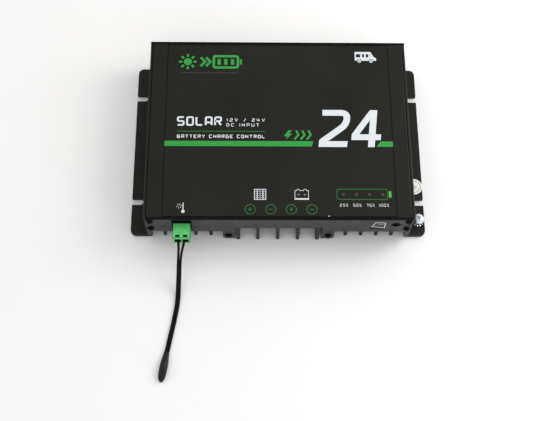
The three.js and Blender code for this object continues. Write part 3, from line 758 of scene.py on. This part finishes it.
def add_sticker():
    """Round sticker with the earth symbol, beside the earth screw."""
    low, high = limits("earth_sticker")
    centre, radius = (low + high) / 2, (high.x - low.x) / 2
    bm = bmesh.new()
    prism(bm, circle(centre, radius, 64), low.z, high.z - 0.02)
    soften(bm, 0.04, degrees=40)
    stand_in("earth_sticker", to_mesh(bm, "sticker"))
    bm = bmesh.new()
    bottom, top, stem = high.z - 0.03, high.z, centre.x - 0.2
    ribbon(bm, circle(centre, radius * 0.76, 48), 0.35, bottom, top, closed=True)
    ribbon(bm, [(stem, centre.y + 2.6), (stem, centre.y)], 0.42, bottom, top)
    for drop, half in ((0, 2.3), (1.0, 1.5), (2.0, 0.7)):
        y = centre.y - drop
        ribbon(bm, [(stem - half, y), (stem + half, y)], 0.36, bottom, top - 0.003)
    add_piece("sticker_print", to_mesh(bm, "sticker_print"), "case", ["ink_grey"])


# ---------------------------------------------------------------- terminals

def add_terminals():
    """The terminal block, its clamp plates and their screws, which face the front."""
    refine("terminal_block", 0.2)
    for number in range(1, 5):
        refine(f"terminal_clamp_{number}", 0.18)
    low, high = limits("terminal_screw_1")
    head, head_height, shank, cross, slot = (high.x - low.x) / 2, 2.4, 1.9, 1.9, 0.9
    seat = low.y + head_height
    mesh = screw_mesh("terminal_screw", head, head_height, shank, high.y - seat, cross, slot)
    for number, spin in zip(range(1, 5), (8, 96, 64, 20)):
        node = f"terminal_screw_{number}"
        middle = middle_of(node)
        stand_in(node, placed(mesh, middle.x, seat, middle.z, "front", spin))


# ---------------------------------------------------------------- sensor plug, lead and probe

LEAD_ROUTE = [  # centre line of the pair of wires, and half of the distance between them
    (-62.2, -71.4, 20.9, 1.9), (-62.2, -74.5, 20.9, 1.8), (-62.3, -77.0, 20.5, 1.55),
    (-62.6, -79.6, 19.4, 1.2), (-63.0, -82.2, 17.6, 0.95), (-63.4, -85.3, 14.9, 0.8),
    (-63.7, -88.8, 11.6, 0.8), (-63.9, -92.4, 8.4, 0.8), (-64.2, -96.7, 5.0, 0.8),
    (-64.4, -101.2, 2.5, 0.8), (-64.6, -106.2, 1.2, 0.8), (-65.0, -111.0, 0.82, 0.8),
    (-65.8, -116.5, 0.8, 0.8), (-66.8, -122.4, 0.8, 0.8), (-67.9, -128.3, 0.8, 0.8),
    (-69.0, -134.0, 0.85, 0.8), (-70.0, -139.4, 1.0, 0.8), (-70.4, -141.5, 1.1, 0.8),
]
WIRE_DIAMETER = 1.6


def wire_piece(name, side):
    """One wire of the pair, as a curve through the route; side is -1 on the left and 1 on the right."""
    data = bpy.data.curves.new(name, "CURVE")
    data.dimensions = "3D"
    data.bevel_depth = WIRE_DIAMETER / 2 * MM
    data.bevel_resolution = 6
    data.resolution_u = 6
    data.use_fill_caps = True
    spline = data.splines.new("BEZIER")
    spline.bezier_points.add(len(LEAD_ROUTE) - 1)
    for point, (x, y, z, spread) in zip(spline.bezier_points, LEAD_ROUTE):
        point.co = Vector((x + side * spread, y, z)) * MM
        point.handle_left_type = point.handle_right_type = "AUTO"
    data.materials.append(MATERIALS["wire_jacket"])
    obj = bpy.data.objects.new(name, data)
    bpy.context.scene.collection.objects.link(obj)
    return obj


def add_wires():
    """The two wires, as curves that start at the plug and ride on it."""
    for label, side in (("left", -1), ("right", 1)):
        node = f"sensor_wire_{label}"
        wire = wire_piece(f"{node}_jacket", side)
        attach(wire, "plug")
        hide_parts(node)


def add_probe():
    """Sensor bead in a shrunk sleeve: a waist over the two wires, then a soft body with a round end."""
    start, end = Vector((-70.4, -141.0)), Vector((-73.6, -160.6))
    along = (end - start).normalized()
    across = Vector((-along.y, along.x))
    length = (end - start).length
    floor = 0.05
    # Part of the length, half width, half height, and how much of a waist there is between the wires.
    form = [
        (0.0, 1.55, 0.85, 0.3), (0.03, 1.72, 0.98, 0.3), (0.1, 1.8, 1.05, 0.26),
        (0.18, 1.95, 1.22, 0.14), (0.27, 2.25, 1.55, 0.05), (0.38, 2.5, 1.85, 0),
        (0.52, 2.62, 2.02, 0), (0.66, 2.6, 2.03, 0), (0.79, 2.45, 1.93, 0),
        (0.88, 2.15, 1.7, 0), (0.945, 1.7, 1.32, 0), (0.985, 1.05, 0.8, 0), (1.0, 0.35, 0.25, 0),
    ]
    sides = 28
    bm = bmesh.new()
    rings = []
    for share, half_width, half_height, waist in form:
        middle = start + along * share * length
        lift = floor + half_height + (0.25 if share > 0.9 else 0) * half_height
        ring = []
        for u, v in circle((0, 0), 1, sides):
            pinch = 1 - waist * (1 - abs(u)) ** 1.5
            p = middle + across * u * half_width
            ring.append(bm.verts.new((p.x, p.y, lift + v * half_height * pinch)))
        rings.append(ring)
    bridge(bm, rings)
    bm.faces.new(rings[0][::-1])
    bm.faces.new(rings[-1])
    obj = stand_in("sensor_probe", to_mesh(bm, "sensor_probe"))
    subdivision = obj.modifiers.new("smooth", "SUBSURF")
    subdivision.levels = subdivision.render_levels = 1
    return obj


def add_header():
    """The header, with its hood that reaches over the plug into the window of the panel, both in a very
    dark green that paints the shade inside the window.
    """
    bm = node_solid("sensor_header")
    shell_low, shell_high = limits("sensor_header")
    plug_low, plug_high = limits("sensor_plug")
    gap, wall = 0.2, 0.45
    front = PANEL_FRONT + 0.2
    back = shell_low.y + 0.1
    left, right = plug_low.x - gap, plug_high.x + gap
    prism(bm, rectangle(left, right, front, back), plug_high.z + gap, shell_high.z)
    for x0, x1 in ((left - wall, left), (right, right + wall)):
        prism(bm, rectangle(x0, x1, front, back), plug_low.z, shell_high.z)
    soften(bm, 0.08)
    stand_in("sensor_header", to_mesh(bm, "sensor_header"), ["painted_shade_green", "painted_shade_green"])


def add_plug():
    """The plug, with painted shade in dark green on its faces inside its openings, and its clamp screws."""
    add_header()
    bm = node_solid("sensor_plug")
    low, high = limits("sensor_plug")
    # faces inside the openings, off the outer box, get the painted shade
    for face in bm.faces:
        centre = face.calc_center_median()
        outside = any(min(c - a, b - c) < 0.05 for c, a, b in zip(centre, low, high))
        face.material_index = 0 if outside else 1
    soften(bm, 0.2)
    plug = stand_in("sensor_plug", to_mesh(bm, "sensor_plug"), ["green_plastic", "painted_shade_green"])
    return [plug] + [refine(f"plug_screw_{side}", 0.1) for side in ("left", "right")]


def add_sensor():
    """The plug with its lead: the wires hang between the plug and the probe."""
    on_lead = add_plug()
    on_lead.append(add_probe())
    add_wires()


# ---------------------------------------------------------------- print on the label

# Strokes of each character on a grid four wide and six high: x and y digits of each point.
GLYPHS = {
    "0": "00 40 46 06 00", "1": "05 16 10", "2": "06 46 43 03 00 40", "4": "06 02 42|36 30",
    "5": "46 06 03 43 40 00", "7": "06 46 20", "A": "00 06 46 40|02 42", "B": "00 06 36 33|03 43 40 00",
    "C": "46 06 00 40", "D": "00 06 36 44 42 30 00", "E": "46 06 00 40|03 33", "G": "46 06 00 40 43 23",
    "H": "00 06|40 46|03 43", "I": "00 06", "L": "06 00 40", "N": "00 06 40 46",
    "O": "00 40 46 06 00", "P": "00 06 46 42 02", "R": "00 06 46 43 03|23 40", "S": "46 06 03 43 40 00",
    "T": "06 46|26 20", "U": "06 00 40 46", "V": "06 20 46", "Y": "06 23 46|23 20",
    "%": "00 46|05 06 16 15 05|30 31 41 40 30", "/": "00 36", " ": "",
}
PRINT_LOW = LABEL_TOP - 0.02
PRINT_HIGH = LABEL_TOP + 0.04


def strokes_of(character):
    """The strokes of a character as lists of grid points."""
    strokes = [stroke.split() for stroke in GLYPHS[character].split("|") if stroke]
    return [[(int(x), int(y)) for x, y in stroke] for stroke in strokes]


def glyph_width(character):
    return max((x for stroke in strokes_of(character) for x, _ in stroke), default=2)


class Print:
    """Ink on the label. Each stroke ends a hair above the last one, so that no two share a plane."""

    def __init__(self):
        self.bm = bmesh.new()
        self.strokes = 0

    def top(self):
        self.strokes += 1
        return PRINT_HIGH + 0.006 * (self.strokes % 5)

    def strip(self, points, width, closed=False, corner=0.0):
        line = rounded(points, corner, closed, 4) if corner else points
        ribbon(self.bm, line, width, PRINT_LOW, self.top(), closed)

    def patch(self, outline):
        prism(self.bm, outline, PRINT_LOW, self.top())

    def lettering(self, text, x0, x1, y0, y1, stroke, stretch=1.0):
        """A line of text that fills a box, drawn with round-cornered strokes of that width."""
        unit = (y1 - y0 - stroke) / 6
        wide = unit * stretch
        used = sum(glyph_width(c) for c in text) * wide
        spacing = (x1 - x0 - stroke - used) / (len(text) - 1)
        x = x0 + stroke / 2
        for character in text:
            for points in strokes_of(character):
                closed = len(points) > 2 and points[0] == points[-1]
                line = [(x + u * wide, y0 + stroke / 2 + v * unit) for u, v in points]
                self.strip(line[:-1] if closed else line, stroke, closed, unit * 1.1)
            x += glyph_width(character) * wide + spacing


def draw_title(ink):
    """Plain words for what it does, and its two battery voltages."""
    ink.lettering("SOLAR", -66.6, -37.1, 1.1, 8.1, 1.25)
    ink.lettering("12V / 24V", -34.2, -9.0, 4.3, 6.7, 0.42, 1.2)
    ink.lettering("DC INPUT", -34.2, -12.7, 0.7, 3.1, 0.42, 1.2)
    ink.lettering("BATTERY CHARGE CONTROL", -66.2, -9.0, -7.8, -5.3, 0.5, 1.15)


def draw_rule(ink):
    """A thin line under the title."""
    ink.strip([(-66.2, -2.8), (-9.0, -2.8)], 0.5)


def draw_bar(ink):
    """A bar across the label, with a slanted break for the large figures."""
    front, back = -13.65, -9.85
    left, right = LABEL_LOW.x + 0.1, LABEL_HIGH.x - 0.1
    ink.patch([(left, front), (21.5, front), (22.3, back), (left, back)])
    ink.patch([(63.4, front), (right, front), (right, back), (66.2, back)])


def draw_digits(ink):
    """The battery voltage, in large slanted figures. Each is drawn upright and then leant over."""
    left, bottom, height, lean = 25.7, -13.95, 27.2, 0.11

    def leant(points, shift):
        return [(left + shift + x + lean * y, bottom + y) for x, y in points]

    two, four = 0, 20.9
    ink.strip(leant([(0.4, 25.1), (16.9, 25.1), (16.9, 16.6), (1.7, 3.6)], two), 4.3, corner=6)
    ink.patch(leant([(0, 0), (18.4, 0), (18.7, 4.2), (0, 4.2)], two))
    ink.patch(leant([(0, 0), (3.2, 1.9), (0.25, 5.3), (0, 4.6)], two))
    ink.patch(leant([(0, 9.3), (4.9, 9.3), (15.6, height), (10.7, height)], four))
    ink.patch(leant([(0, 5.1), (19.2, 5.1), (19.2, 9.3), (0, 9.3)], four))
    ink.patch(leant([(11.2, 0), (15.6, 0), (15.6, height), (11.2, height)], four))


def draw_flow(ink):
    """A bolt and three chevrons: energy flowing to the battery."""
    bolt = [(3.2, -6.4), (6.4, -1.8), (8.6, -1.8), (6.9, -4.4), (9.0, -4.4), (4.4, -8.9), (5.7, -6.4)]
    ink.patch(bolt)
    for step in range(3):
        x = 11.2 + step * 4.0
        ink.strip([(x - 1.0, -8.6), (x + 1.6, -5.3), (x + 0.2, -2.0)], 1.35)


def draw_emblem(ink):
    """Sun, arrow and battery."""
    centre = Vector((-60.6, 49.6))
    ink.patch(circle(centre, 2.7, 32))
    for i in range(8):
        direction = Vector((math.cos(i * math.pi / 4), math.sin(i * math.pi / 4)))
        ink.strip([centre + direction * 3.7, centre + direction * 5.9], 1.5)
    for x in (-52.0, -48.4):
        ink.strip([(x, 46.2), (x + 3.0, 49.6), (x, 53.0)], 1.7)
    ink.strip(rectangle(-43.2, -27.0, 45.2, 54.0), 1.8, True, 1.6)
    ink.patch(rectangle(-25.7, -24.3, 47.6, 51.6))
    for x in (-39.6, -35.1, -30.6):
        ink.strip([(x, 47.4), (x, 51.8)], 2.2)


def draw_dashes(ink):
    """A row of short dashes under the emblem."""
    left, pitch, dash = -65.9, 2.2, 1.4
    for i in range(18):
        x = left + i * pitch
        ink.strip([(x, 41.2), (x + dash, 41.2)], 0.7)


def draw_camper(ink):
    """Side view of a camper: roof, pillars between dark windows, lower body and wheels."""
    ink.patch([(51.8, 56.2), (63.4, 56.2), (62.6, 57.9), (51.8, 57.9)])
    for x0, x1 in ((51.8, 52.7), (55.6, 56.8), (58.2, 59.3), (61.0, 61.9)):
        ink.patch(rectangle(x0, x1, 53.6, 56.25))
    ink.patch([(61.9, 53.6), (64.9, 53.6), (63.2, 56.25), (62.4, 56.25)])
    arches = [(53.0, 51.0), (53.6, 52.2), (55.9, 52.2), (56.5, 51.0),
              (61.0, 51.0), (61.6, 52.2), (63.9, 52.2), (64.5, 51.0)]
    ink.patch([(51.8, 51.0), *arches, (66.2, 51.0), (66.2, 52.9), (65.0, 53.65), (51.8, 53.65)])
    for x in (54.75, 62.75):
        ink.strip(circle((x, 50.7), 0.85, 20), 0.7, True)


def draw_thermometer(ink):
    """A thermometer beside a six-armed star."""
    bulb = Vector((-60.75, -59.5))
    ink.strip([bulb, bulb + Vector((0, 5.9))], 0.6)
    ink.patch(circle(bulb, 1.1, 24))
    star = Vector((-63.2, -55.8))
    for direction in range(0, 360, 60):
        angle = math.radians(direction + 15)
        ray = Vector((math.cos(angle), math.sin(angle)))
        ink.strip([star + ray * 0.7, star + ray * 1.9], 0.24)


def draw_panel_icon(ink):
    """Solar panel: a frame and its cells."""
    x0, x1, y0, y1 = -15.8, -8.6, -51.2, -44.2
    ink.strip(rectangle(x0, x1, y0, y1), 0.45, True)
    for share, width in ((0.25, 0.6), (0.5, 0.2), (0.75, 0.6)):
        x = x0 + (x1 - x0) * share
        ink.strip([(x, y0), (x, y1)], width)
    for share in (0.2, 0.4, 0.6, 0.8):
        y = y0 + (y1 - y0) * share
        ink.strip([(x0, y), (x1, y)], 0.2)


def draw_battery_icon(ink):
    """Car battery: a box with two posts on a thick base."""
    x0, x1, y0, y1 = 9.9, 18.5, -51.2, -45.0
    post = [(0, 0), (1.1, 0), (1.5, 0.9), (2.7, 0.9), (3.1, 0)]
    left_half = [(x0, y0)] + [(x0 + x, y1 + y) for x, y in post]
    right_half = [(x0 + x1 - x, y) for x, y in reversed(left_half)]
    ink.strip(left_half + right_half, 0.34)
    ink.patch(rectangle(x0 - 0.3, x1 + 0.3, y0 - 0.1, y0 + 0.95))
    for x in (x0 + 2.3, x1 - 2.3):
        ink.strip([(x - 0.7, -47.8), (x + 0.7, -47.8)], 0.22)


def draw_pole_marks(ink):
    """A ringed plus or minus above each terminal."""
    y, shift = -57.95, 1.4
    for number in range(4):
        x = middle_of(f"terminal_screw_{number + 1}").x + shift
        ink.strip(circle((x, y), 3.2, 40), 0.42, True)
        ink.strip([(x - 1.3, y), (x + 1.3, y)], 0.5)
        if number % 2 == 0:
            ink.strip([(x, y - 1.3), (x, y + 1.3)], 0.5)


def draw_charge_frame(ink):
    """Outline of a battery around the four lamps."""
    ink.strip(rectangle(36.6, 68.9, -51.0, -43.9), 0.42, True, 1.8)


def draw_charge_tip(ink):
    """The pole of that battery."""
    ink.patch(rectangle(69.6, 71.3, -49.6, -45.3))


def draw_charge_scale(ink):
    """The share of the charge that each lamp stands for."""
    marks = (("25%", 40.8, 5.3), ("50%", 49.3, 5.3), ("75%", 57.7, 5.1), ("100%", 66.1, 6.4))
    for text, centre, width in marks:
        ink.lettering(text, centre - width / 2, centre + width / 2, -56.0, -54.0, 0.25, 0.95)


def draw_white_fleck(ink):
    """A small white fleck on the label near its front edge."""
    ink.patch([(30.8, -62.7), (31.3, -62.9), (31.6, -62.5), (31.4, -62.2), (30.9, -62.25)])


def add_print():
    """Each print is a thin layer of ink on the label."""
    layers = [
        ("print_title", "ink_light", [draw_title]),
        ("print_rule", "ink_dark_green", [draw_rule]),
        ("print_bar", "ink_green", [draw_bar, draw_flow]),
        ("print_digits", "ink_light", [draw_digits]),
        ("print_emblem", "ink_green", [draw_emblem]),
        ("print_dashes", "ink_shade", [draw_dashes]),
        ("print_camper", "ink_light", [draw_camper]),
        ("print_terminal_icons", "ink_light", [draw_thermometer, draw_panel_icon, draw_battery_icon]),
        ("print_pole_marks", "ink_dark_green", [draw_pole_marks]),
        ("print_charge_frame", "ink_dark_green", [draw_charge_frame]),
        ("print_charge_tip", "ink_bright_green", [draw_charge_tip]),
        ("print_charge_scale", "ink_light", [draw_charge_scale]),
        ("white_fleck", "ink_white", [draw_white_fleck]),
    ]
    for name, material, drawings in layers:
        ink = Print()
        for draw in drawings:
            draw(ink)
        add_piece(name, to_mesh(ink.bm, name), "case", [material])


def add_led_windows():
    """Frosted windows of the label over the four lamps."""
    top = LABEL_TOP + 0.05
    profile = [(0, PRINT_LOW), (1.0, PRINT_LOW), (1.0, top - 0.03), (0.9, top), (0, top)]
    for number in range(1, 5):
        lamp = middle_of(f"status_led_{number}")
        bm = bmesh.new()
        turned(bm, profile, 32, Matrix.Translation((lamp.x, lamp.y, 0)))
        add_piece(f"lamp_window_{number}", to_mesh(bm, "lamp_window"), "case", ["led_lens"])


def add_panel_print():
    """Outline symbol of the remote display, on the front panel beside its socket."""
    bm = bmesh.new()
    corners = [(61.3, 30.2), (67.3, 29.1), (67.4, 21.0), (59.3, 23.2)]
    ribbon(bm, corners, 0.5, 0, 0.05, closed=True)
    ribbon(bm, [(62.2, 27.7), (65.9, 27.0)], 0.4, 0, 0.05)
    bm.transform(Matrix.Translation((0, PANEL_FRONT, 0)) @ Matrix.Rotation(math.pi / 2, 4, "X"))
    add_piece("print_socket_symbol", to_mesh(bm, "socket_symbol"), "case", ["ink_white"])


# ---------------------------------------------------------------- pieces inside the case

def add_inner_pieces():
    """Boxy inner pieces get rounded edges, and every CAD node that stays gets the looks of its slot."""
    boxy = ["circuit_board", "thermal_pad", "transistor_clamp", "controller_chip", "blade_fuse"]
    boxy += ["remote_jack"] + [f"transistor_{n}" for n in range(1, 5)]
    for node in boxy:
        refine(node, 0.15)
    for node, obj in frame["nodes"].items():
        for slot in obj.material_slots:
            slot.material = MATERIALS[SLOT_OF[node]]


# ---------------------------------------------------------------- studio

def add_floor():
    """A wide white table at the height of the underside."""
    half = 3.0
    bm = bmesh.new()
    bmesh.ops.create_grid(bm, x_segments=8, y_segments=8, size=half)
    mesh = bpy.data.meshes.new("floor")
    bm.to_mesh(mesh)
    bm.free()
    s = Surface("floor", 0.85, specular=0.1)
    s.colour(s.noise(60, detail=3), (0.89, 0.89, 0.892, 1), (0.9, 0.9, 0.902, 1))
    mesh.materials.append(s.material)
    floor = bpy.data.objects.new("floor", mesh)
    bpy.context.scene.collection.objects.link(floor)


def add_light(name, position, size, power, colour):
    """A round lamp that faces the controller."""
    data = bpy.data.lights.new(name, "AREA")
    data.shape = "DISK"
    data.size = size
    data.energy = power
    data.color = colour
    light = bpy.data.objects.new(name, data)
    bpy.context.scene.collection.objects.link(light)
    light.location = position
    light.rotation_mode = "QUATERNION"
    light.rotation_quaternion = (-Vector(position)).to_track_quat("-Z", "Y")


def add_studio():
    """An even white room, with a soft key light from the right and a small bluish one from the front."""
    scene = bpy.context.scene
    scene.view_settings.view_transform = "Standard"
    world = bpy.data.worlds.new("studio")
    world.use_nodes = True
    background = world.node_tree.nodes["Background"]
    background.inputs["Color"].default_value = (1.0, 0.99, 0.98, 1)
    background.inputs["Strength"].default_value = 0.92
    scene.world = world
    add_floor()
    add_light("key", (0.48, 0.12, 0.4), size=0.4, power=1.7, colour=(1.0, 0.99, 0.97))
    add_light("window", (0.6, -0.6, 0.3), size=0.15, power=0.5, colour=(0.6, 0.72, 1.0))


# ---------------------------------------------------------------- build

make_camera()
add_sensor()
add_case()
add_panel_screws()
add_ground_point()
add_sticker()
add_terminals()
add_print()
add_led_windows()
add_panel_print()
add_inner_pieces()
add_studio()
